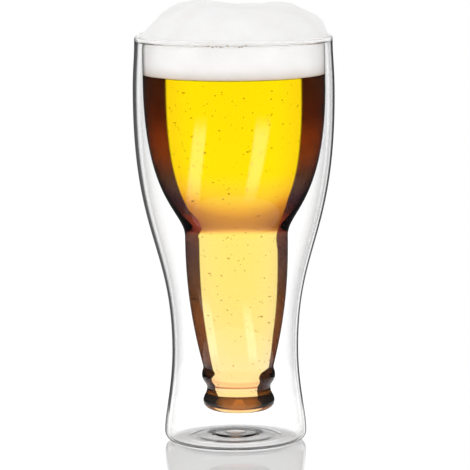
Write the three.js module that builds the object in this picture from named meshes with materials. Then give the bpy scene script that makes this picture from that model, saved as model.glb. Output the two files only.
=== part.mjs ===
// A double-walled beer glass, filled. The inner wall is a long-necked bottle standing on its head.
// Millimetres, +Z up. The origin is the middle of the foot, on the table.
import * as THREE from "three";

// Outer wall: a tall pilsner shape, drawn in at the waist and flared again to the heel
const GLASS_HEIGHT = 180; // table to the top of the lip
const RIM_RADIUS = 43.6; // outside of the wall where the lip begins
const BELLY_SWELL = 0.85; // how far the belly stands out past the rim
const BELLY_DROP = 26; // lip top down to the widest ring
const WAIST_RADIUS = 27.95;
const WAIST_HEIGHT = 41;
const HEEL_RADIUS = 31.5;
const OUTER_WALL = 1.2;

// Lip: the two walls are melted together into one rounded ring
const LIP_DEPTH = 2.2;
const RIM_AIR_SPACE = 2.2; // between the walls, just under the lip

// Inner wall: mouth, groove, collar, neck, shoulder and body of a bottle, counted from the bottom up
const BOTTLE_WALL = 1.2;
const MOUTH_AIR_SPACE = 10.3; // middle of the base up to the closed mouth
const MOUTH_ROUND = [5.3, 3.9]; // across and up, between the mouth's flat end and its lip
const MOUTH_FLARE = 1.8; // how far the mouth's lip stands out past the groove
const GROOVE_RISE = 6; // mouth's lip up to the groove
const GROOVE_DEPTH = 2.2; // collar in to the groove
const COLLAR_RISE = 6; // groove up to the collar
const COLLAR_FLARE = 0.6; // how far the collar stands out past the neck
const NECK_FOOT_RISE = 3.9; // collar up to the thin end of the neck
const NECK_FOOT_RADIUS = 15.7;
const NECK_SLANT = 0.25; // widening per height at the thin end
const NECK_ROOT_RADIUS = 22.8;
const NECK_LENGTH = 58.3;
const BODY_LENGTH = 18; // straight part, from the shoulder up to the lip

// Base: as thick as the outer wall, with a rounded heel, a flat standing ring and a pushed-up middle
const HEEL_ROUND = 4;
const HEEL_EDGE = 0.4; // upright part, from the rounding up to the wall's seam
const STAND_WIDTH = 4.9;
const PUSH_UP_RISE = 1;
const PUSH_UP_RUN = 6;
const DIMPLE_RADIUS = 10.7;
const DIMPLE_RISE = 0.9;
const DIMPLE_RUN = 1.6;

// Vent seal: air leaves through a hole in the base while the walls are joined, then a bead closes it
const VENT_RADIUS = 3.3;
const SEAL_FIT = 0.3; // between the seal's stem and the hole
const SEAL_LAP = 1.4; // how far the bead spreads past the hole
const SEAL_BULGE = 0.5;

// Beer and its head of foam
const HEAD_DEPTH = 17; // lip top down to the beer's surface
const FILL_FIT = 0.3; // between what fills the glass and the glass
const HEAD_EDGE = 0.6; // blunt edge of the foam that has swollen over the lip
const HEAD_RISE = 12.7; // dome above that edge, without its humps
const HUMP_FOOT = 3.2; // height of the dome over which its humps grow to their full rise
const HEAD_HUMPS = [
  { x: -15, y: 0, rise: 2.05, spread: 13.8 },
  { x: 20, y: -0.5, rise: 1.4, spread: 9.1 },
  { x: 2, y: 12.6, rise: -1.2, spread: 10.7 },
  { x: -44, y: 2.7, rise: -6.6, spread: 10.1 },
  { x: 39.8, y: -5.3, rise: 2.55, spread: 6.5 },
];

// Fullness of the curves: the reach of each end, as a share of the way that the curve goes
const HEEL_TO_WAIST = [0.2, 0.45];
const WAIST_TO_BELLY = [0.41, 0.56];
const BELLY_TO_RIM = [0.5, 0.3];
const MOUTH_TO_GROOVE = [0.45, 0.45];
const GROOVE_TO_COLLAR = [0.4, 0.5];
const COLLAR_TO_NECK = [0.45, 0.35];
const NECK_TO_ROOT = [0.34, 0.38];
const ROOT_TO_BODY = [0.16, 0.78];
const BASE_CURVES = [0.45, 0.45];
const DOME_SQUARENESS = [4.84, 1.06]; // across and up, where 2 and 2 would be a plain ellipse

// Facets round the axis, and steps along a rounding, a short curve, a long curve and the dome
const FACETS = 40;
const ROUND_STEPS = 4;
const SHORT_STEPS = 4;
const LONG_STEPS = 8;
const DOME_STEPS = 9;
const SHORTEST_STRETCH = 1e-6; // share of a curve

// Sizes that follow from those above
const heelHeight = HEEL_ROUND + HEEL_EDGE;
const rimSeam = GLASS_HEIGHT - LIP_DEPTH;
const bodyRadius = RIM_RADIUS - OUTER_WALL - RIM_AIR_SPACE;
const boreRadius = bodyRadius - BOTTLE_WALL;
const ventCeiling = PUSH_UP_RISE + DIMPLE_RISE;
const baseTop = ventCeiling + OUTER_WALL;
const beerLevel = GLASS_HEIGHT - HEAD_DEPTH;

const at = (radius, height) => new THREE.Vector2(radius, height);

function line(from, to) {
  return { curve: new THREE.LineCurve(from, to), steps: 1 };
}

// A curve that climbs from one point to another, upright at both ends unless a slant is given.
function climb(from, to, [reachFrom, reachTo], steps, slantFrom = 0, slantTo = 0) {
  const rise = to.y - from.y;
  const first = from.clone().add(at(slantFrom, 1).multiplyScalar(reachFrom * rise));
  const second = to.clone().sub(at(slantTo, 1).multiplyScalar(reachTo * rise));
  return { curve: new THREE.CubicBezierCurve(from, first, second, to), steps };
}

// A curve that crosses from one point to another, level at both ends.
function cross(from, to, [reachFrom, reachTo], steps) {
  const run = to.x - from.x;
  const first = at(from.x + reachFrom * run, from.y);
  const second = at(to.x - reachTo * run, to.y);
  return { curve: new THREE.CubicBezierCurve(from, first, second, to), steps };
}

// Part of an ellipse about a point, from one angle to another.
function rounding(middle, across, up, from, to, steps) {
  return { curve: new THREE.EllipseCurve(middle.x, middle.y, across, up, from, to, from > to), steps };
}

// Direction of a curve at a share of its way, over a stretch too short to bend.
function direction(curve, share) {
  const from = curve.getPoint(Math.max(0, share - SHORTEST_STRETCH));
  const to = curve.getPoint(Math.min(1, share + SHORTEST_STRETCH));
  return to.sub(from).normalize();
}

// Points along a chain of curves, each moved inwards by a depth, square to the outline.
function trace(chain, depth = 0) {
  const points = [];
  for (const { curve, steps } of chain) {
    for (let step = points.length === 0 ? 0 : 1; step <= steps; step += 1) {
      const point = curve.getPoint(step / steps);
      const along = direction(curve, step / steps);
      points.push(at(point.x - depth * along.y, point.y + depth * along.x));
    }
  }
  return points;
}

// Cuts a rising outline at a level. Both halves end on it.
function cutAt(points, level) {
  const next = points.findIndex((point) => point.y > level);
  const last = points[next - 1];
  const share = (level - last.y) / (points[next].y - last.y);
  const cut = last.clone().lerp(points[next], share);
  return { below: [...points.slice(0, next), cut], above: [cut, ...points.slice(next)] };
}

// Turns an outline about the Z axis.
function turned(outline) {
  const geometry = new THREE.LatheGeometry(outline, FACETS);
  geometry.rotateX(Math.PI / 2);
  return geometry;
}

// Turns an outline that goes round and ends where it began.
function turnedRing(outline) {
  return turned([...outline, outline[0].clone()]);
}

function outerWall() {
  const heel = at(HEEL_RADIUS, heelHeight);
  const waist = at(WAIST_RADIUS, WAIST_HEIGHT);
  const belly = at(RIM_RADIUS + BELLY_SWELL, GLASS_HEIGHT - BELLY_DROP);
  const rim = at(RIM_RADIUS, rimSeam);
  const chain = [
    climb(heel, waist, HEEL_TO_WAIST, LONG_STEPS),
    climb(waist, belly, WAIST_TO_BELLY, LONG_STEPS),
    climb(belly, rim, BELLY_TO_RIM, SHORT_STEPS),
  ];
  return turnedRing([...trace(chain), ...trace(chain, OUTER_WALL).reverse()]);
}

// Outline of the upside-down bottle, from the middle of its closed mouth up to the lip.
function bottleChain() {
  const collarRadius = NECK_FOOT_RADIUS + COLLAR_FLARE;
  const grooveRadius = collarRadius - GROOVE_DEPTH;
  const mouthRadius = grooveRadius + MOUTH_FLARE;
  const mouthEnd = baseTop + MOUTH_AIR_SPACE;
  const [roundAcross, roundUp] = MOUTH_ROUND;
  const flatEdge = at(mouthRadius - roundAcross, mouthEnd);
  const roundMiddle = at(flatEdge.x, mouthEnd + roundUp);
  const mouth = at(mouthRadius, roundMiddle.y);
  const groove = at(grooveRadius, mouth.y + GROOVE_RISE);
  const collar = at(collarRadius, groove.y + COLLAR_RISE);
  const foot = at(NECK_FOOT_RADIUS, collar.y + NECK_FOOT_RISE);
  const root = at(NECK_ROOT_RADIUS, foot.y + NECK_LENGTH);
  const body = at(bodyRadius, rimSeam - BODY_LENGTH);
  return [
    line(at(0, mouthEnd), flatEdge),
    rounding(roundMiddle, roundAcross, roundUp, -Math.PI / 2, 0, ROUND_STEPS),
    climb(mouth, groove, MOUTH_TO_GROOVE, SHORT_STEPS),
    climb(groove, collar, GROOVE_TO_COLLAR, SHORT_STEPS),
    climb(collar, foot, COLLAR_TO_NECK, SHORT_STEPS, 0, NECK_SLANT),
    climb(foot, root, NECK_TO_ROOT, SHORT_STEPS, NECK_SLANT, 0),
    climb(root, body, ROOT_TO_BODY, LONG_STEPS),
    line(body, at(bodyRadius, rimSeam)),
  ];
}

function innerBottle() {
  const chain = bottleChain();
  return turned([...trace(chain), ...trace(chain, BOTTLE_WALL).reverse()]);
}

// The lip's arch over both walls, grown by a fit, between two angles counted from its outer side.
function lipArch(fit, from, to, steps) {
  const middle = at((RIM_RADIUS + boreRadius) / 2, rimSeam);
  const across = (RIM_RADIUS - boreRadius) / 2 + fit;
  return rounding(middle, across, LIP_DEPTH + fit, from, to, steps);
}

function lipRing() {
  return turnedRing(trace([lipArch(0, 0, Math.PI, 2 * ROUND_STEPS)]));
}

function baseDisc() {
  const roundMiddle = at(HEEL_RADIUS - HEEL_ROUND, HEEL_ROUND);
  const standOuter = at(roundMiddle.x, 0);
  const standInner = at(standOuter.x - STAND_WIDTH, 0);
  const ceiling = at(standInner.x - PUSH_UP_RUN, PUSH_UP_RISE);
  const dimpleEdge = at(DIMPLE_RADIUS, PUSH_UP_RISE);
  const dimple = at(DIMPLE_RADIUS - DIMPLE_RUN, ventCeiling);
  const chain = [
    line(at(VENT_RADIUS, ventCeiling), dimple),
    cross(dimple, dimpleEdge, BASE_CURVES, SHORT_STEPS),
    line(dimpleEdge, ceiling),
    cross(ceiling, standInner, BASE_CURVES, SHORT_STEPS),
    line(standInner, standOuter),
    rounding(roundMiddle, HEEL_ROUND, HEEL_ROUND, -Math.PI / 2, 0, ROUND_STEPS),
    line(at(HEEL_RADIUS, HEEL_ROUND), at(HEEL_RADIUS, heelHeight)),
  ];
  return turnedRing([...trace(chain), ...trace(chain, OUTER_WALL).reverse()]);
}

function ventSeal() {
  const stemRadius = VENT_RADIUS - SEAL_FIT;
  const beadRadius = VENT_RADIUS + SEAL_LAP;
  const bead = rounding(at(0, ventCeiling), beadRadius, SEAL_BULGE, -Math.PI / 2, 0, ROUND_STEPS);
  const stem = [at(stemRadius, ventCeiling), at(stemRadius, baseTop), at(0, baseTop)];
  return turned([...trace([bead]), ...stem]);
}

// Side of what fills the bottle, a fit away from the glass, cut at the beer's surface.
function fillSides() {
  return cutAt(trace(bottleChain(), BOTTLE_WALL + FILL_FIT), beerLevel);
}

function beer() {
  return turned([...fillSides().below, at(0, beerLevel)]);
}

// Height that the humps and hollows of the foam add at a place.
function humpsAt(x, y) {
  let height = 0;
  for (const hump of HEAD_HUMPS) {
    const distance = Math.hypot(x - hump.x, y - hump.y) / hump.spread;
    height += hump.rise * Math.exp(-distance * distance);
  }
  return height;
}

// The foam fills the glass above the beer, swells over the inner half of the lip and rises to a dome.
function foamHead() {
  const overLip = trace([lipArch(FILL_FIT, Math.PI, Math.PI / 2, ROUND_STEPS)]);
  const crest = overLip[overLip.length - 1];
  const domeFoot = crest.y + HEAD_EDGE;
  const [across, up] = DOME_SQUARENESS;
  const dome = [];
  for (let step = 0; step <= DOME_STEPS; step += 1) {
    const share = step === DOME_STEPS ? 0 : Math.cos((Math.PI / 2) * (step / DOME_STEPS));
    dome.push(at(crest.x * share, domeFoot + HEAD_RISE * (1 - share ** across) ** (1 / up)));
  }
  const sides = fillSides().above.slice(0, -1);
  const geometry = turned([at(0, beerLevel), ...sides, ...overLip, ...dome]);
  const places = geometry.getAttribute("position");
  for (let i = 0; i < places.count; i += 1) {
    const share = THREE.MathUtils.clamp((places.getZ(i) - domeFoot) / HUMP_FOOT, 0, 1);
    places.setZ(i, places.getZ(i) + share * humpsAt(places.getX(i), places.getY(i)));
  }
  geometry.computeVertexNormals();
  return geometry;
}

function clearGlass() {
  return new THREE.MeshStandardMaterial({
    color: 0xeaf1f1,
    roughness: 0.03,
    metalness: 0,
    transparent: true,
    opacity: 0.3,
  });
}

function amberBeer() {
  return new THREE.MeshStandardMaterial({
    color: 0xf0b400,
    roughness: 0.05,
    metalness: 0,
    transparent: true,
    opacity: 0.8,
  });
}

function whiteFoam() {
  return new THREE.MeshStandardMaterial({ color: 0xf0eeeb, roughness: 0.8, metalness: 0 });
}

function piece(name, geometry, material) {
  const mesh = new THREE.Mesh(geometry, material);
  mesh.name = name;
  return mesh;
}

const beerGlass = new THREE.Group();
beerGlass.add(
  piece("outer_wall", outerWall(), clearGlass()),
  piece("inner_bottle", innerBottle(), clearGlass()),
  piece("lip_ring", lipRing(), clearGlass()),
  piece("base_disc", baseDisc(), clearGlass()),
  piece("vent_seal", ventSeal(), clearGlass()),
  piece("beer", beer(), amberBeer()),
  piece("foam_head", foamHead(), whiteFoam()),
);

export default beerGlass;
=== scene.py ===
import math
import random

import bpy
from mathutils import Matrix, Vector
from mathutils.geometry import interpolate_bezier


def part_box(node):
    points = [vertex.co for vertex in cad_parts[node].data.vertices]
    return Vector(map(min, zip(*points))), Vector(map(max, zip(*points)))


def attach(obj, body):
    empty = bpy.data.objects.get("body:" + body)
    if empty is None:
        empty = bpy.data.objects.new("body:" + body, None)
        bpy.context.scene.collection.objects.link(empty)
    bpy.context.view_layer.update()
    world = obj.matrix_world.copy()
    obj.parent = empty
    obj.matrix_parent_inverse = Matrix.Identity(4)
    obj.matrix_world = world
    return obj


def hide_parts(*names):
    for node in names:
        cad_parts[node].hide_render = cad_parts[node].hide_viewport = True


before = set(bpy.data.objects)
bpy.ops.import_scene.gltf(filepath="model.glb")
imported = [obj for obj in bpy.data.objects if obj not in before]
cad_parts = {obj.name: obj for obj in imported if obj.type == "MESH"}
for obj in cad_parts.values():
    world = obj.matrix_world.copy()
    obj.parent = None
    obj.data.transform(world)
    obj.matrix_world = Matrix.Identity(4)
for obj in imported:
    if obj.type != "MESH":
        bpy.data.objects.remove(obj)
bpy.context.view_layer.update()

# Sizes that the boxes of the solids give, in metres
wall_low, wall_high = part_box("outer_wall")
lip_low, lip_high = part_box("lip_ring")
base_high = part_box("base_disc")[1]
bottle_low, bottle_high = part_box("inner_bottle")
seal_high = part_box("vent_seal")[1]
beer_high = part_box("beer")[1]

rim_radius = lip_high.x
rim_seam = lip_low.z
glass_height = lip_high.z
lip_depth = glass_height - rim_seam
belly_radius = wall_high.x
heel_radius = base_high.x
heel_height = wall_low.z
body_radius = bottle_high.x
mouth_end = bottle_low.z
beer_level = beer_high.z

# Sizes of the glass that no box shows, the same as in the solids
WAIST_RADIUS = 0.02795
WAIST_HEIGHT = 0.041
BELLY_HEIGHT = 0.154
OUTER_WALL = 0.0012
BOTTLE_WALL = 0.0012
MOUTH_RADIUS = 0.0159
MOUTH_ROUND = 0.0053
MOUTH_HEIGHT = 0.0173
GROOVE_RADIUS = 0.0141
GROOVE_HEIGHT = 0.0233
COLLAR_RADIUS = 0.0163
COLLAR_HEIGHT = 0.0293
NECK_FOOT_RADIUS = 0.0157
NECK_FOOT_HEIGHT = 0.0332
NECK_SLANT = 0.25
NECK_ROOT_RADIUS = 0.0228
NECK_ROOT_HEIGHT = 0.0915
BODY_FOOT_HEIGHT = 0.1598
HEEL_ROUND = 0.004
STAND_WIDTH = 0.0049
PUSH_UP_RISE = 0.001
PUSH_UP_RUN = 0.006
DIMPLE_RADIUS = 0.0107
DIMPLE_RISE = 0.0009
SEAL_BULGE = 0.0005
DIMPLE_RUN = 0.0016

# How far pieces sink into each other, so that no two surfaces lie on one another
WALL_IN_LIP = 0.0006
BEER_IN_WALL = 0.0002
FOAM_IN_WALL = 0.0001
BEER_IN_FOAM = 0.0004
SEAL_IN_BASE = 0.0004

TURNS = 144
BOTTLE_LEAN = 0.0095  # the blown bottle hangs a little to the right of the outer wall

BUBBLE_COUNT = 500
BUBBLE_RADIUS = 0.00027
SPECK_COUNT = 16
SPECK_RADIUS = 0.00031

# How many surfaces a ray has crossed at most: the outer wall alone, and no beer; and at least: the beer
SKIN_DEPTH = 2.5
THIN_DEPTH = 4.5
FILLED_DEPTH = 8.5
STREAK_LEVEL = 6

CAMERA_PLACE = (0.0002, -1.5, 0.292)
CAMERA_AIM = (0.0002, 0, 0.0915)
CAMERA_LENS = 261.9
CAMERA_ROLL = -0.35


# Outlines, drawn in the plane of X and Z

def spot(radius, height):
    return Vector((radius, 0, height))


def climb(low, high, reach, steps, slant_low=0, slant_high=0):
    """A curve from a low point to a high one, upright at both ends unless a slant is given."""
    rise = high.z - low.z
    first = low + spot(slant_low, 1) * (reach[0] * rise)
    second = high - spot(slant_high, 1) * (reach[1] * rise)
    return interpolate_bezier(low, first, second, high, steps + 1)


def cross(start, end, reach, steps):
    """A curve from one point across to another, level at both ends."""
    run = end.x - start.x
    first = start + spot(reach[0] * run, 0)
    second = end - spot(reach[1] * run, 0)
    return interpolate_bezier(start, first, second, end, steps + 1)


def rounding(middle, across, up, start, end, steps):
    """Part of an ellipse about a point, between two angles in degrees."""
    points = []
    for step in range(steps + 1):
        angle = math.radians(start + (end - start) * step / steps)
        points.append(middle + spot(across * math.cos(angle), up * math.sin(angle)))
    return points


def joined(*stretches):
    """One outline from stretches that each begin where the last one ends."""
    outline = [stretches[0][0]]
    for stretch in stretches:
        outline += [point for point in stretch if (point - outline[-1]).length > 1e-7]
    return outline


def sunk(outline, depth):
    """The same outline, moved inwards by a depth, square to itself."""
    moved = []
    for index, point in enumerate(outline):
        before = outline[max(index - 1, 0)]
        after = outline[min(index + 1, len(outline) - 1)]
        along = (after - before).normalized()
        moved.append(point + spot(-along.z, along.x) * depth)
    return moved


def outer_wall_outline():
    heel = spot(heel_radius, heel_height)
    waist = spot(WAIST_RADIUS, WAIST_HEIGHT)
    belly = spot(belly_radius, BELLY_HEIGHT)
    rim = spot(rim_radius, rim_seam)
    return joined(
        climb(heel, waist, (0.2, 0.45), 24),
        climb(waist, belly, (0.41, 0.56), 36),
        climb(belly, rim, (0.5, 0.3), 10),
    )


def bottle_outline():
    flat_edge = spot(MOUTH_RADIUS - MOUTH_ROUND, mouth_end)
    round_middle = spot(flat_edge.x, MOUTH_HEIGHT)
    mouth = spot(MOUTH_RADIUS, MOUTH_HEIGHT)
    groove = spot(GROOVE_RADIUS, GROOVE_HEIGHT)
    collar = spot(COLLAR_RADIUS, COLLAR_HEIGHT)
    neck_foot = spot(NECK_FOOT_RADIUS, NECK_FOOT_HEIGHT)
    neck_root = spot(NECK_ROOT_RADIUS, NECK_ROOT_HEIGHT)
    body_foot = spot(body_radius, BODY_FOOT_HEIGHT)
    return joined(
        [spot(0, mouth_end), flat_edge * 0.4 + spot(0, mouth_end * 0.6), flat_edge],
        rounding(round_middle, MOUTH_ROUND, MOUTH_HEIGHT - mouth_end, -90, 0, 10),
        climb(mouth, groove, (0.45, 0.45), 10),
        climb(groove, collar, (0.4, 0.5), 10),
        climb(collar, neck_foot, (0.45, 0.35), 8, 0, NECK_SLANT),
        climb(neck_foot, neck_root, (0.34, 0.38), 20, NECK_SLANT, 0),
        climb(neck_root, body_foot, (0.16, 0.78), 40),
        [body_foot, spot(body_radius, (BODY_FOOT_HEIGHT + rim_seam) / 2), spot(body_radius, rim_seam)],
    )


# Modelling

def turned(name, outline):
    """Draws an outline by extruding one vertex from point to point, and spins it about the Z axis."""
    bpy.ops.object.select_all(action="DESELECT")
    bpy.ops.mesh.primitive_plane_add(size=0.001)
    piece = bpy.context.object
    piece.name = name
    piece.data.name = name
    bpy.ops.object.mode_set(mode="EDIT")
    bpy.ops.mesh.merge(type="CENTER")
    bpy.ops.transform.translate(value=outline[0])
    for here, there in zip(outline, outline[1:]):
        bpy.ops.mesh.extrude_region_move(TRANSFORM_OT_translate={"value": there - here})
    bpy.ops.mesh.select_all(action="SELECT")
    bpy.ops.mesh.spin(steps=TURNS, angle=math.tau, center=(0, 0, 0), axis=(0, 0, 1))
    bpy.ops.mesh.select_all(action="SELECT")
    bpy.ops.mesh.remove_doubles(threshold=1e-6)
    bpy.ops.mesh.normals_make_consistent(inside=False)
    bpy.ops.object.mode_set(mode="OBJECT")
    bpy.ops.object.shade_smooth_by_angle(angle=math.radians(60))
    return piece


def lean(piece):
    """Moves what hangs below the lip sideways, the further down the more."""
    for vertex in piece.data.vertices:
        vertex.co.x += BOTTLE_LEAN * max(0, rim_seam - vertex.co.z)


def finish_piece(piece, material, slot, *nodes):
    piece.data.materials.append(material)
    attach(piece, "root")
    if nodes:
        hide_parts(*nodes)


# Materials

def new_material(name):
    material = bpy.data.materials.new(name)
    material.use_nodes = True
    nodes = material.node_tree.nodes
    return material, nodes, material.node_tree.links, nodes["Principled BSDF"]


def colours_by_height(nodes, links, height, stops):
    """Colours between heights, each given as a height and its colour."""
    first, last = stops[0][0], stops[-1][0]
    share = nodes.new("ShaderNodeMapRange")
    share.inputs["From Min"].default_value = first
    share.inputs["From Max"].default_value = last
    links.new(height, share.inputs["Value"])
    colours = nodes.new("ShaderNodeValToRGB")
    links.new(share.outputs["Result"], colours.inputs[0])
    marks = colours.color_ramp.elements
    marks[0].color = (*stops[0][1], 1)
    marks[1].color = (*stops[-1][1], 1)
    for place, colour in stops[1:-1]:
        marks.new((place - first) / (last - first)).color = (*colour, 1)
    return colours.outputs["Color"]


def maths(nodes, links, operation, *values):
    node = nodes.new("ShaderNodeMath")
    node.operation = operation
    for socket, value in zip(node.inputs, values):
        if isinstance(value, (int, float)):
            socket.default_value = value
        else:
            links.new(value, socket)
    return node.outputs[0]


def soft_step(nodes, links, value, start, end, low=0, high=1):
    node = nodes.new("ShaderNodeMapRange")
    node.interpolation_type = "SMOOTHSTEP"
    links.new(value, node.inputs["Value"])
    node.inputs["From Min"].default_value = start
    node.inputs["From Max"].default_value = end
    node.inputs["To Min"].default_value = low
    node.inputs["To Max"].default_value = high
    return node.outputs["Result"]


def mixed(nodes, links, share, first, second):
    """A share of the second colour in the first."""
    node = nodes.new("ShaderNodeMix")
    node.data_type = "RGBA"
    for socket, value in zip((node.inputs[0], node.inputs[6], node.inputs[7]), (share, first, second)):
        if isinstance(value, tuple):
            socket.default_value = (*value, 1)
        else:
            links.new(value, socket)
    return node.outputs[2]


def side_on(nodes, links):
    """How far round the axis a surface turns from the eye: 0 square on, 1 edge on. Inner faces give 0."""
    geometry = nodes.new("ShaderNodeNewGeometry")
    parts = nodes.new("ShaderNodeSeparateXYZ")
    links.new(geometry.outputs["Normal"], parts.inputs[0])
    level = nodes.new("ShaderNodeCombineXYZ")
    links.new(parts.outputs["X"], level.inputs["X"])
    links.new(parts.outputs["Y"], level.inputs["Y"])
    unit = nodes.new("ShaderNodeVectorMath")
    unit.operation = "NORMALIZE"
    links.new(level.outputs[0], unit.inputs[0])
    weight = nodes.new("ShaderNodeLayerWeight")
    weight.inputs["Blend"].default_value = 0.5
    links.new(unit.outputs[0], weight.inputs["Normal"])
    outside = maths(nodes, links, "SUBTRACT", 1, geometry.outputs["Backfacing"])
    return maths(nodes, links, "MULTIPLY", weight.outputs["Facing"], outside), parts.outputs


def clear_glass():
    material, nodes, links, shader = new_material("clear_glass")
    turned_away, normal = side_on(nodes, links)
    # Painted shade: the glass is coloured darker where its side turns edge-on to the eye, a little more on
    # its -X side, in place of the dark surroundings it would refract
    steep = soft_step(nodes, links, maths(nodes, links, "ABSOLUTE", normal["Z"]), 0.5, 0.8, 1, 0)
    swayed = maths(nodes, links, "MULTIPLY_ADD", normal["X"], -0.04, turned_away)
    painted_edge_dark = colours_by_height(nodes, links, maths(nodes, links, "MULTIPLY", swayed, steep), (
        (0.785, (1, 1, 1)),
        (0.835, (0.5, 0.5, 0.5)),
        (0.88, (0.2, 0.2, 0.2)),
        (0.93, (0.1, 0.1, 0.1)),
        (1, (0.06, 0.06, 0.06)),
    ))
    links.new(painted_edge_dark, shader.inputs["Base Color"])
    shader.inputs["Roughness"].default_value = 0
    shader.inputs["IOR"].default_value = 1.47
    shader.inputs["Specular Tint"].default_value = (0.4, 0.4, 0.4, 1)
    shader.inputs["Transmission Weight"].default_value = 1
    coordinates = nodes.new("ShaderNodeTexCoord")
    waves = nodes.new("ShaderNodeTexNoise")
    waves.inputs["Scale"].default_value = 45
    waves.inputs["Detail"].default_value = 1
    links.new(coordinates.outputs["Object"], waves.inputs["Vector"])
    bump = nodes.new("ShaderNodeBump")
    bump.inputs["Strength"].default_value = 0.03
    bump.inputs["Distance"].default_value = 0.001
    links.new(waves.outputs["Fac"], bump.inputs["Height"])
    links.new(bump.outputs["Normal"], shader.inputs["Normal"])
    return material


# Painted shade: the colour given to the beer along its sides, where it would show the dark of the room, by
# height
BEER_PAINTED_SIDE_SHADE = (
    (0.013, (0.34, 0.16, 0.05)),
    (0.0173, (0.22, 0.09, 0.025)),
    (0.0233, (0.05, 0.016, 0.013)),
    (0.0293, (0.035, 0.014, 0.014)),
    (0.0335, (0.05, 0.02, 0.02)),
    (0.037, (0.16, 0.06, 0.05)),
    (0.0545, (0.22, 0.085, 0.072)),
    (0.0665, (0.155, 0.068, 0.065)),
    (0.077, (0.134, 0.074, 0.13)),
    (0.087, (0.107, 0.058, 0.145)),
    (0.0929, (0.165, 0.082, 0.166)),
    (0.0955, (0.25, 0.085, 0.19)),
    (0.0992, (0.88, 0.38, 0.9)),
    (0.104, (0.2, 0.145, 0.75)),
    (0.109, (0.089, 0.087, 0.92)),
    (0.1145, (0.108, 0.103, 1)),
    (0.1215, (0.11, 0.051, 0.89)),
    (0.1285, (0.196, 0.048, 0.28)),
    (0.1355, (0.193, 0.036, 0.13)),
    (0.1465, (0.08, 0.013, 0.03)),
    (0.158, (0.058, 0.0138, 0.105)),
    (0.163, (0.05, 0.013, 0.08)),
)


def amber_beer():
    material, nodes, links, shader = new_material("amber_beer")
    coordinates = nodes.new("ShaderNodeTexCoord")
    parts = nodes.new("ShaderNodeSeparateXYZ")
    links.new(coordinates.outputs["Object"], parts.inputs[0])
    depths = colours_by_height(nodes, links, parts.outputs["Z"], (
        (0.012, (1, 0.8, 0.8)),
        (0.035, (1, 0.88, 1)),
        (0.09, (1, 0.94, 1)),
        (0.104, (1, 0.97, 0.8)),
        (0.122, (1, 1, 0.03)),
        (0.163, (1, 1, 0.015)),
    ))
    # Painted shade: towards its sides, by how far the surface turns from the eye, the beer's colour turns
    # orange and then to the painted dark bands listed above by height, in place of the dark room it would
    # refract; where the bands start is also listed by height
    turned_away, normal = side_on(nodes, links)
    marks = nodes.new("ShaderNodeSeparateColor")
    links.new(colours_by_height(nodes, links, parts.outputs["Z"], (
        (0.013, (0.137, 0.483, 0.1)),
        (0.021, (0.137, 0.483, 0.1)),
        (0.0235, (0.117, 0.453, 0.1)),
        (0.0295, (0.117, 0.453, 0.1)),
        (0.0335, (0.175, 0.54, 0.1)),
        (0.0475, (0.162, 0.526, 0.1)),
        (0.0865, (0.1585, 0.5215, 0.1)),
        (0.09, (0.154, 0.5163, 0.1)),
        (0.0936, (0.1505, 0.512, 0.1)),
        (0.0971, (0.1335, 0.547, 0.1)),
        (0.101, (0.136, 0.544, 0.2)),
        (0.1056, (0.1485, 0.508, 0.3)),
        (0.1105, (0.143, 0.4975, 0.3)),
        (0.163, (0.143, 0.4975, 0.3)),
    )), marks.inputs[0])
    to_one_side = maths(nodes, links, "SUBTRACT", marks.outputs[1], 0.5)
    sway = maths(nodes, links, "MULTIPLY", to_one_side, normal["X"])
    start = maths(nodes, links, "ADD", marks.outputs[0], sway)
    past = maths(nodes, links, "SUBTRACT", turned_away, start)
    stops = [(height, [share ** 2 for share in colour]) for height, colour in BEER_PAINTED_SIDE_SHADE]
    painted_side_shade = colours_by_height(nodes, links, parts.outputs["Z"], stops)
    nearing = maths(nodes, links, "MULTIPLY", soft_step(nodes, links, past, -0.1, -0.01), marks.outputs[2])
    shaded = mixed(nodes, links, nearing, depths, (1, 0.3, 0.3))
    whole = mixed(nodes, links, soft_step(nodes, links, past, -0.006, 0.006), shaded, painted_side_shade)
    links.new(whole, shader.inputs["Base Color"])
    shader.inputs["Roughness"].default_value = 0
    shader.inputs["IOR"].default_value = 1.34
    shader.inputs["Transmission Weight"].default_value = 1
    absorption = nodes.new("ShaderNodeVolumeAbsorption")
    absorption.inputs["Color"].default_value = (1, 0.9, 0, 1)
    absorption.inputs["Density"].default_value = 40
    links.new(absorption.outputs["Volume"], nodes["Material Output"].inputs["Volume"])
    return material


def gas_bubble():
    material, nodes, links, shader = new_material("gas_bubble")
    # Painted shade: the bubble is coloured darker towards its rim, in place of the dark it would refract
    weight = nodes.new("ShaderNodeLayerWeight")
    weight.inputs["Blend"].default_value = 0.5
    painted_bubble_rims = colours_by_height(nodes, links, weight.outputs["Facing"], (
        (0, (0.8, 0.68, 0.6)),
        (0.3, (0.66, 0.5, 0.4)),
        (1, (0.3, 0.2, 0.15)),
    ))
    links.new(painted_bubble_rims, shader.inputs["Base Color"])
    shader.inputs["Roughness"].default_value = 0
    shader.inputs["IOR"].default_value = 1.12
    shader.inputs["Transmission Weight"].default_value = 1
    return material


def dried_beer():
    material, nodes, links, shader = new_material("dried_beer")
    coordinates = nodes.new("ShaderNodeTexCoord")
    stains = nodes.new("ShaderNodeTexNoise")
    stains.inputs["Scale"].default_value = 700
    links.new(coordinates.outputs["Object"], stains.inputs["Vector"])
    browns = colours_by_height(nodes, links, stains.outputs["Fac"], (
        (0.3, (0.16, 0.08, 0.04)),
        (0.7, (0.45, 0.32, 0.2)),
    ))
    links.new(browns, shader.inputs["Base Color"])
    dullness = soft_step(nodes, links, stains.outputs["Fac"], 0.3, 0.7, 0.25, 0.5)
    links.new(dullness, shader.inputs["Roughness"])
    return material


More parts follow.
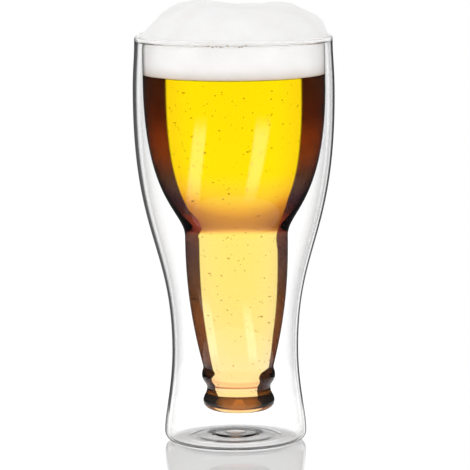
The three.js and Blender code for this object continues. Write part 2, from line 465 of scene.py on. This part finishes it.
def white_foam():
    material, nodes, links, shader = new_material("white_foam")
    coordinates = nodes.new("ShaderNodeTexCoord")
    shader.inputs["Roughness"].default_value = 0.7
    shader.inputs["Subsurface Weight"].default_value = 0.3
    shader.inputs["Subsurface Radius"].default_value = (1, 0.95, 0.85)
    shader.inputs["Subsurface Scale"].default_value = 0.003
    cells = nodes.new("ShaderNodeTexVoronoi")
    cells.inputs["Scale"].default_value = 900
    links.new(coordinates.outputs["Object"], cells.inputs["Vector"])
    froth = nodes.new("ShaderNodeTexNoise")
    froth.inputs["Scale"].default_value = 350
    froth.inputs["Detail"].default_value = 5
    links.new(coordinates.outputs["Object"], froth.inputs["Vector"])
    height = maths(nodes, links, "MULTIPLY_ADD", cells.outputs["Distance"], -0.6, froth.outputs["Fac"])
    bump = nodes.new("ShaderNodeBump")
    bump.inputs["Strength"].default_value = 0.35
    bump.inputs["Distance"].default_value = 0.0004
    links.new(height, bump.inputs["Height"])
    links.new(bump.outputs["Normal"], shader.inputs["Normal"])
    patches = nodes.new("ShaderNodeTexNoise")
    patches.inputs["Scale"].default_value = 90
    patches.inputs["Detail"].default_value = 3
    links.new(coordinates.outputs["Object"], patches.inputs["Vector"])
    whites = colours_by_height(nodes, links, patches.outputs["Fac"], (
        (0.3, (0.9, 0.89, 0.88)),
        (0.7, (0.95, 0.945, 0.94)),
    ))
    parts = nodes.new("ShaderNodeSeparateXYZ")
    links.new(coordinates.outputs["Object"], parts.inputs[0])
    # Darker towards the bottom: the underside that lies on the beer is painted dark as shade, and the foam
    # just above it is tinted warm by the beer soaked into it
    soaked_and_painted_underside = colours_by_height(nodes, links, parts.outputs["Z"], (
        (beer_level, (0.06, 0.025, 0.02)),
        (beer_level + 0.00003, (0.06, 0.025, 0.02)),
        (beer_level + 0.0001, (0.85, 0.7, 0.58)),
        (beer_level + 0.0016, (0.95, 0.91, 0.88)),
        (beer_level + 0.005, (1, 1, 1)),
    ))
    blend = nodes.new("ShaderNodeMix")
    blend.data_type = "RGBA"
    blend.blend_type = "MULTIPLY"
    blend.inputs[0].default_value = 1
    links.new(whites, blend.inputs[6])
    links.new(soaked_and_painted_underside, blend.inputs[7])
    links.new(blend.outputs[2], shader.inputs["Base Color"])
    return material


bubble_finish = gas_bubble()
speck_finish = dried_beer()
glass = clear_glass()
beer_finish = amber_beer()
foam_finish = white_foam()


# Outer wall with its base, in one piece of glass

def model_outer_glass():
    round_middle = spot(heel_radius - HEEL_ROUND, HEEL_ROUND)
    stand_outer = spot(round_middle.x, 0)
    stand_inner = spot(stand_outer.x - STAND_WIDTH, 0)
    ceiling = spot(stand_inner.x - PUSH_UP_RUN, PUSH_UP_RISE)
    dimple_edge = spot(DIMPLE_RADIUS, PUSH_UP_RISE)
    dimple = spot(DIMPLE_RADIUS - DIMPLE_RUN, PUSH_UP_RISE + DIMPLE_RISE)
    outside = joined(
        [spot(0, dimple.z), spot(dimple.x / 2, dimple.z), dimple],
        cross(dimple, dimple_edge, (0.45, 0.45), 8),
        [dimple_edge, ceiling],
        cross(ceiling, stand_inner, (0.45, 0.45), 10),
        [stand_inner, stand_outer],
        rounding(round_middle, HEEL_ROUND, HEEL_ROUND, -90, 0, 12),
        outer_wall_outline(),
    )
    inside = sunk(outside, OUTER_WALL)
    inside.reverse()
    rim_middle = spot(rim_radius - OUTER_WALL / 2, rim_seam)
    outline = joined(outside, rounding(rim_middle, OUTER_WALL / 2, WALL_IN_LIP, 0, 180, 8), inside)
    piece = turned("outer_glass", outline)
    finish_piece(piece, glass, "clear_glass", "outer_wall", "base_disc")


# Bottle on its head, with the lip that joins it to the outer wall

def lip_corner(middle, half):
    """The outside of the lip, which stands squarer than the inside."""
    points = []
    for step in range(15):
        angle = math.pi / 2 * step / 14
        points.append(middle + spot(half * math.cos(angle) ** 0.5, lip_depth * math.sin(angle) ** 0.5))
    return points


def model_bottle_glass():
    outside = bottle_outline()
    inside = sunk(outside, BOTTLE_WALL)
    inside.reverse()
    bore_radius = body_radius - BOTTLE_WALL
    gap_middle = spot((body_radius + rim_radius - OUTER_WALL) / 2, rim_seam)
    gap_half = gap_middle.x - body_radius
    lip_middle = spot((rim_radius + bore_radius) / 2, rim_seam)
    outline = joined(
        outside,
        rounding(gap_middle, gap_half, gap_half * 0.6, 180, 0, 8),
        [spot(gap_middle.x + gap_half, rim_seam), spot(rim_radius, rim_seam)],
        lip_corner(lip_middle, rim_radius - lip_middle.x),
        rounding(lip_middle, rim_radius - lip_middle.x, lip_depth, 90, 180, 10),
        inside,
    )
    piece = turned("bottle_glass", outline)
    lean(piece)
    finish_piece(piece, glass, "clear_glass", "inner_bottle", "lip_ring")


def model_vent_bead():
    radius = seal_high.x
    top = PUSH_UP_RISE + DIMPLE_RISE
    outline = joined(
        rounding(spot(0, top), radius, SEAL_BULGE, -90, 0, 10),
        rounding(spot(0, top), radius, SEAL_IN_BASE, 0, 90, 6),
    )
    outline[0].x = 0
    outline[-1].x = 0
    piece = turned("vent_bead", outline)
    finish_piece(piece, glass, "clear_glass", "vent_seal")


# Beer, and the head of foam

def filled_outline(bite):
    return sunk(bottle_outline(), BOTTLE_WALL - bite)


def model_beer():
    sides = [point for point in filled_outline(BEER_IN_WALL) if point.z < beer_level]
    top = beer_level + BEER_IN_FOAM
    radius = body_radius - BOTTLE_WALL + BEER_IN_WALL
    outline = joined(sides, [spot(radius, top), spot(radius / 2, top), spot(0, top)])
    outline[0].x = 0
    piece = turned("beer_fill", outline)
    lean(piece)
    finish_piece(piece, beer_finish, "amber_beer", "beer")


FOAM_RISE = 0.0127
FOAM_EDGE = 0.001
FOAM_HUMPS = (
    (-0.015, 0, 0.00205, 0.0138),
    (0.020, -0.0005, 0.0014, 0.0091),
    (0.002, 0.0126, -0.0012, 0.0107),
    (-0.044, 0.0027, -0.0066, 0.0101),
    (0.0398, -0.0053, 0.00255, 0.0065),
)


def model_foam():
    bore = body_radius - BOTTLE_WALL + FOAM_IN_WALL
    lip_middle = spot((rim_radius + body_radius - BOTTLE_WALL) / 2, rim_seam)
    over_lip = rounding(lip_middle, lip_middle.x - bore, lip_depth - FOAM_IN_WALL, 180, 90, 8)
    foot = over_lip[-1].z + FOAM_EDGE
    dome = []
    for step in range(49):
        share = math.cos(math.pi / 2 * step / 48) if step < 48 else 0
        height = FOAM_RISE * (1 - share ** 4.84) ** (1 / 1.06)
        dome.append(spot(over_lip[-1].x * share, foot + height))
    outline = joined(
        [spot(0, beer_level), spot(bore / 2, beer_level), spot(bore, beer_level)],
        [spot(bore, beer_level), spot(bore, rim_seam - 0.004), spot(bore, rim_seam)],
        over_lip,
        dome,
    )
    piece = turned("foam_crown", outline)
    crown = piece.vertex_groups.new(name="crown")
    for vertex in piece.data.vertices:
        share = min(1, max(0, 4 * (vertex.co.z - foot) / FOAM_RISE))
        crown.add([vertex.index], share, "REPLACE")
        for x, y, height, spread in FOAM_HUMPS:
            distance = math.hypot(vertex.co.x - x, vertex.co.y - y) / spread
            vertex.co.z += share * height * math.exp(-distance * distance)
    lumps = bpy.data.textures.new("foam_lumps", "CLOUDS")
    lumps.noise_scale = 0.009
    lumps.noise_depth = 2
    swell = piece.modifiers.new("Lumps", "DISPLACE")
    swell.texture = lumps
    swell.texture_coords = "LOCAL"
    swell.vertex_group = "crown"
    swell.strength = 0.001
    swell.mid_level = 0.5
    bpy.ops.object.modifier_apply(modifier=swell.name)
    piece.vertex_groups.clear()
    lean(piece)
    finish_piece(piece, foam_finish, "white_foam", "foam_head")


# Bubbles on the inside of the bottle and on their way up, and dried specks of beer on the front of the lip

def beads(name, radius, places, chance):
    bpy.ops.object.select_all(action="DESELECT")
    bpy.ops.mesh.primitive_uv_sphere_add(segments=8, ring_count=6, radius=radius)
    piece = bpy.context.object
    piece.name = name
    piece.data.name = name
    bpy.ops.object.mode_set(mode="EDIT")
    bpy.ops.transform.translate(value=places[0])
    size = 1
    for here, there in zip(places, places[1:]):
        bpy.ops.mesh.duplicate_move(TRANSFORM_OT_translate={"value": there - here})
        wanted = chance.choice((0.6, 0.75, 0.85, 1, 1, 1.25))
        bpy.ops.transform.resize(value=(wanted / size,) * 3, center_override=there)
        size = wanted
    bpy.ops.object.mode_set(mode="OBJECT")
    bpy.ops.object.shade_smooth()
    return piece


def model_bubbles(count):
    chance = random.Random(7)
    wall = [point for point in filled_outline(0) if point.z > mouth_end + BOTTLE_WALL]
    places = []
    while len(places) < count:
        height = chance.uniform(0.022, beer_level - 0.002)
        above = next(index for index, point in enumerate(wall) if point.z > height)
        reach = wall[above].x - 0.0007
        if chance.random() * 0.039 > reach:
            continue
        if chance.random() < 0.12:
            reach *= chance.uniform(0.6, 0.95)
        turn = chance.uniform(0, math.tau) if chance.random() < 0.4 else chance.uniform(math.pi, math.tau)
        shift = BOTTLE_LEAN * (rim_seam - height)
        places.append(Vector((reach * math.cos(turn) + shift, reach * math.sin(turn), height)))
    piece = beads("gas_bubbles", BUBBLE_RADIUS, places, chance)
    finish_piece(piece, bubble_finish, "amber_beer")


def model_rim_specks(count):
    chance = random.Random(3)
    places = []
    for _ in range(count):
        turn = math.radians(-90 + chance.triangular(-30, 20, -8))
        reach = rim_radius + chance.uniform(-0.0001, 0.0001)
        height = glass_height - chance.uniform(0.0011, 0.002)
        places.append(Vector((reach * math.cos(turn), reach * math.sin(turn), height)))
    piece = beads("rim_specks", SPECK_RADIUS, places, chance)
    finish_piece(piece, speck_finish, "amber_beer")


model_outer_glass()
model_bottle_glass()
model_vent_bead()
model_beer()
model_foam()
model_bubbles(BUBBLE_COUNT)
model_rim_specks(SPECK_COUNT)


# White table top, with a painted shadow under the glass

def model_floor():
    material, nodes, links, shader = new_material("white_table")
    shader.inputs["Roughness"].default_value = 0.02
    shader.inputs["Coat Weight"].default_value = 1
    shader.inputs["Coat Roughness"].default_value = 0.02
    shader.inputs["Emission Color"].default_value = (1, 1, 1, 1)
    path = nodes.new("ShaderNodeLightPath")
    coordinates = nodes.new("ShaderNodeTexCoord")
    distance = nodes.new("ShaderNodeVectorMath")
    distance.operation = "LENGTH"
    links.new(coordinates.outputs["Object"], distance.inputs[0])
    away = distance.outputs["Value"]
    # Painted light and shade: seen through the glass the floor glows brighter, and it is coloured and
    # glows darker for rays that crossed only the outer wall or came by a reflection
    straight = maths(nodes, links, "LESS_THAN", path.outputs["Glossy Depth"], 0.5)
    edge_on = maths(nodes, links, "LESS_THAN", path.outputs["Transmission Depth"], SKIN_DEPTH)
    mirrored = maths(nodes, links, "SUBTRACT", 1, straight)
    edge_dim = maths(nodes, links, "MULTIPLY", edge_on, 0.8)
    mirror_dim = maths(nodes, links, "MULTIPLY", mirrored, 0.6)
    dimmed = maths(nodes, links, "MAXIMUM", edge_dim, mirror_dim)
    dimmed = maths(nodes, links, "MULTIPLY", dimmed, path.outputs["Is Transmission Ray"])
    kept = maths(nodes, links, "SUBTRACT", 1, dimmed)
    # Painted shadow: about the foot of the glass the floor is coloured darker
    painted_floor_shadow = soft_step(nodes, links, away, 0.02, 0.031, 0.82, 0.86)
    links.new(maths(nodes, links, "MULTIPLY", painted_floor_shadow, kept), shader.inputs["Base Color"])
    through = maths(nodes, links, "MULTIPLY", path.outputs["Is Transmission Ray"], kept)
    direct = maths(nodes, links, "MULTIPLY", path.outputs["Is Camera Ray"], 0.14)
    lift = maths(nodes, links, "MULTIPLY_ADD", through, 0.4, direct)
    # Painted shadow: the floor glows less about the foot of the glass
    glow_with_painted_shadow = soft_step(nodes, links, away, 0.012, 0.034, 0.8, 1)
    links.new(maths(nodes, links, "MULTIPLY", lift, glow_with_painted_shadow), shader.inputs["Emission Strength"])
    white = nodes.new("ShaderNodeEmission")
    fade = nodes.new("ShaderNodeMixShader")
    far = soft_step(nodes, links, away, 0.12, 0.22)
    links.new(maths(nodes, links, "MULTIPLY", far, path.outputs["Is Camera Ray"]), fade.inputs[0])
    links.new(shader.outputs[0], fade.inputs[1])
    links.new(white.outputs[0], fade.inputs[2])
    links.new(fade.outputs[0], nodes["Material Output"].inputs["Surface"])
    bpy.ops.object.select_all(action="DESELECT")
    bpy.ops.mesh.primitive_plane_add(size=8, location=(0, 0, -0.0003))
    floor = bpy.context.object
    floor.name = "white_floor"
    floor.visible_transmission = False
    floor.visible_glossy = False
    floor.data.materials.append(material)
    bpy.ops.mesh.primitive_circle_add(vertices=96, radius=0.12, fill_type="NGON", location=(0, 0, -0.0002))
    plate = bpy.context.object
    plate.name = "white_table_top"
    plate.visible_camera = False
    plate.visible_glossy = False
    plate.visible_diffuse = False
    plate.visible_shadow = False
    plate.data.materials.append(material)


# Studio: white to the camera, a plain level on what scatters, and levels by Light Path in glass and beer

def build_world():
    world = bpy.data.worlds.new("white_studio")
    bpy.context.scene.world = world
    world.use_nodes = True
    nodes = world.node_tree.nodes
    links = world.node_tree.links
    background = nodes["Background"]

    def number(operation, *values):
        return maths(nodes, links, operation, *values)

    def ramp(value, start, end, low=0, high=1):
        return soft_step(nodes, links, value, start, end, low, high)

    def tint(mask, if_not, if_so):
        return mixed(nodes, links, mask, if_not, if_so)

    def choose(mask, if_not, if_so):
        node = nodes.new("ShaderNodeMix")
        for socket, value in zip((node.inputs[0], node.inputs[2], node.inputs[3]), (mask, if_not, if_so)):
            if isinstance(value, (int, float)):
                socket.default_value = value
            else:
                links.new(value, socket)
        return node.outputs[0]

    coordinates = nodes.new("ShaderNodeTexCoord")
    parts = nodes.new("ShaderNodeSeparateXYZ")
    links.new(coordinates.outputs["Generated"], parts.inputs[0])
    x, y, z = parts.outputs
    level = number("SQRT", number("ADD", number("MULTIPLY", x, x), number("MULTIPLY", y, y)))
    across = number("DIVIDE", number("ABSOLUTE", x), level)
    path = nodes.new("ShaderNodeLightPath")
    thin = number("LESS_THAN", path.outputs["Transmission Depth"], THIN_DEPTH)
    filled = number("GREATER_THAN", path.outputs["Transmission Depth"], FILLED_DEPTH)
    ahead = ramp(across, 0.38, 0.48, 1, 0)

    middle = colours_by_height(nodes, links, z, (
        (0.04, (1, 1, 1)),
        (0.10, (1, 0.97, 0.95)),
        (0.18, (0.98, 0.79, 0.75)),
        (0.215, (0.92, 0.66, 0.6)),
        (0.254, (0.82, 0.48, 0.45)),
        (0.30, (0.62, 0.32, 0.34)),
        (0.387, (0.45, 0.2, 0.2)),
        (0.46, (0.35, 0.15, 0.14)),
    ))
    through = tint(filled, (1, 1, 1), middle)
    outermost = number("LESS_THAN", path.outputs["Transmission Depth"], SKIN_DEPTH)
    narrow = number("MULTIPLY", ahead, choose(outermost, 1, ramp(across, 0.03, 0.08, 1, 0)))
    behind = number("MULTIPLY", narrow, ramp(y, -0.05, 0.05))
    ceiling = ramp(z, 0.02, 0.08, 0, 0.85)
    lit = number("MAXIMUM", behind, ceiling)
    back_middle = number("MULTIPLY", ramp(y, 0.1, 0.3), ramp(across, 0.2, 0.5, 1, 0))
    raised = number("MULTIPLY", ramp(z, 0.1, 0.3), back_middle)
    warm = tint(raised, (0.045, 0.034, 0.02), (0.6, 0.27, 0.06))
    low_back = number("MULTIPLY", ramp(z, 0.02, 0.1), ramp(z, 0.35, 0.5, 1, 0))
    rising = number("MULTIPLY", low_back, number("MULTIPLY", thin, ahead))
    side_glint = tint(number("MAXIMUM", thin, ahead), (0.35, 0.19, 0.06), (0.04, 0.04, 0.04))
    plain_wall = tint(rising, side_glint, (0.42, 0.42, 0.42))
    inside = tint(filled, plain_wall, warm)
    shine = tint(path.outputs["Is Transmission Ray"], (1, 1, 1), inside)
    straight_back = number("SUBTRACT", 1, path.outputs["Is Transmission Ray"])
    skimmed = number("MULTIPLY", ramp(y, 0.66, 0.76), ramp(y, 0.8, 0.87, 1, 0))
    skin = number("MULTIPLY", outermost, skimmed)
    right_rim = tint(ramp(y, 0.88, 0.93), (0.95, 0.95, 0.95), (0.06, 0.06, 0.06))
    rim_light = tint(ramp(x, -0.1, 0.1), (0.1, 0.1, 0.1), right_rim)
    rim = tint(number("MULTIPLY", outermost, ramp(y, 0.8, 0.87)), (0.02, 0.02, 0.02), rim_light)
    unlit = tint(filled, tint(skin, rim, (0.95, 0.95, 0.95)), (0.03, 0.016, 0.012))
    plain_mirror = tint(lit, unlit, shine)
    slanted = number("SUBTRACT", number("DIVIDE", x, level), number("MULTIPLY", z, 0.7))
    left_box = ramp(number("ABSOLUTE", number("ADD", slanted, 0.51)), 0.07, 0.13, 1, 0)
    right_box = ramp(number("ABSOLUTE", number("SUBTRACT", slanted, 0.65)), 0.08, 0.16, 1, 0)
    reach = number("MULTIPLY", ramp(z, -0.5, -0.34), ramp(z, -0.2, -0.12, 1, 0))
    front = number("MULTIPLY", number("MULTIPLY", ramp(y, -0.1, 0.0, 1, 0), reach), straight_back)
    boxes = number("MULTIPLY", number("MAXIMUM", left_box, right_box), front)
    mirrored = tint(boxes, plain_mirror, (STREAK_LEVEL,) * 3)
    turned_back = number("GREATER_THAN", path.outputs["Glossy Depth"], 0.5)
    clear = tint(turned_back, through, mirrored)
    spread = number("GREATER_THAN", path.outputs["Diffuse Depth"], 0.5)
    level_light = tint(path.outputs["Is Transmission Ray"], (0.8, 0.8, 0.8), (1.45, 1.45, 1.45))
    plain = tint(spread, clear, level_light)
    shown = tint(path.outputs["Is Camera Ray"], plain, (1, 1, 1))
    links.new(shown, background.inputs["Color"])
    bright = choose(filled, 1.2, 1.22)
    strength = choose(number("MAXIMUM", spread, path.outputs["Is Camera Ray"]), bright, 1.0)
    links.new(strength, background.inputs["Strength"])


def add_softbox(name, place, target, width, height, watts):
    bpy.ops.object.light_add(type="AREA", location=place)
    lamp = bpy.context.object
    lamp.name = name
    lamp.data.shape = "RECTANGLE"
    lamp.data.size = width
    lamp.data.size_y = height
    lamp.data.energy = watts
    lamp.rotation_euler = (Vector(target) - Vector(place)).to_track_quat("-Z", "Y").to_euler()
    lamp.visible_camera = False
    lamp.visible_glossy = False
    lamp.visible_transmission = False


def add_camera():
    bpy.ops.object.camera_add(location=CAMERA_PLACE)
    camera = bpy.context.object
    camera.data.sensor_width = 36
    camera.data.lens = CAMERA_LENS
    aim = Vector(CAMERA_AIM) - camera.location
    turn = aim.to_track_quat("-Z", "Y").to_matrix().to_4x4()
    camera.rotation_euler = turn.to_euler()
    camera.rotation_euler.rotate_axis("Z", math.radians(CAMERA_ROLL))
    bpy.context.scene.camera = camera


model_floor()
build_world()
add_softbox("left_softbox", (-0.9, -0.85, 0.55), (0, 0, 0.12), 0.45, 0.9, 2.6)
add_softbox("right_softbox", (0.85, -0.95, 0.55), (0, 0, 0.12), 0.35, 0.9, 2.0)
add_camera()

scene = bpy.context.scene
scene.view_settings.view_transform = "Standard"
scene.cycles.max_bounces = 32
scene.cycles.transmission_bounces = 32
scene.cycles.glossy_bounces = 8
scene.cycles.blur_glossy = 0
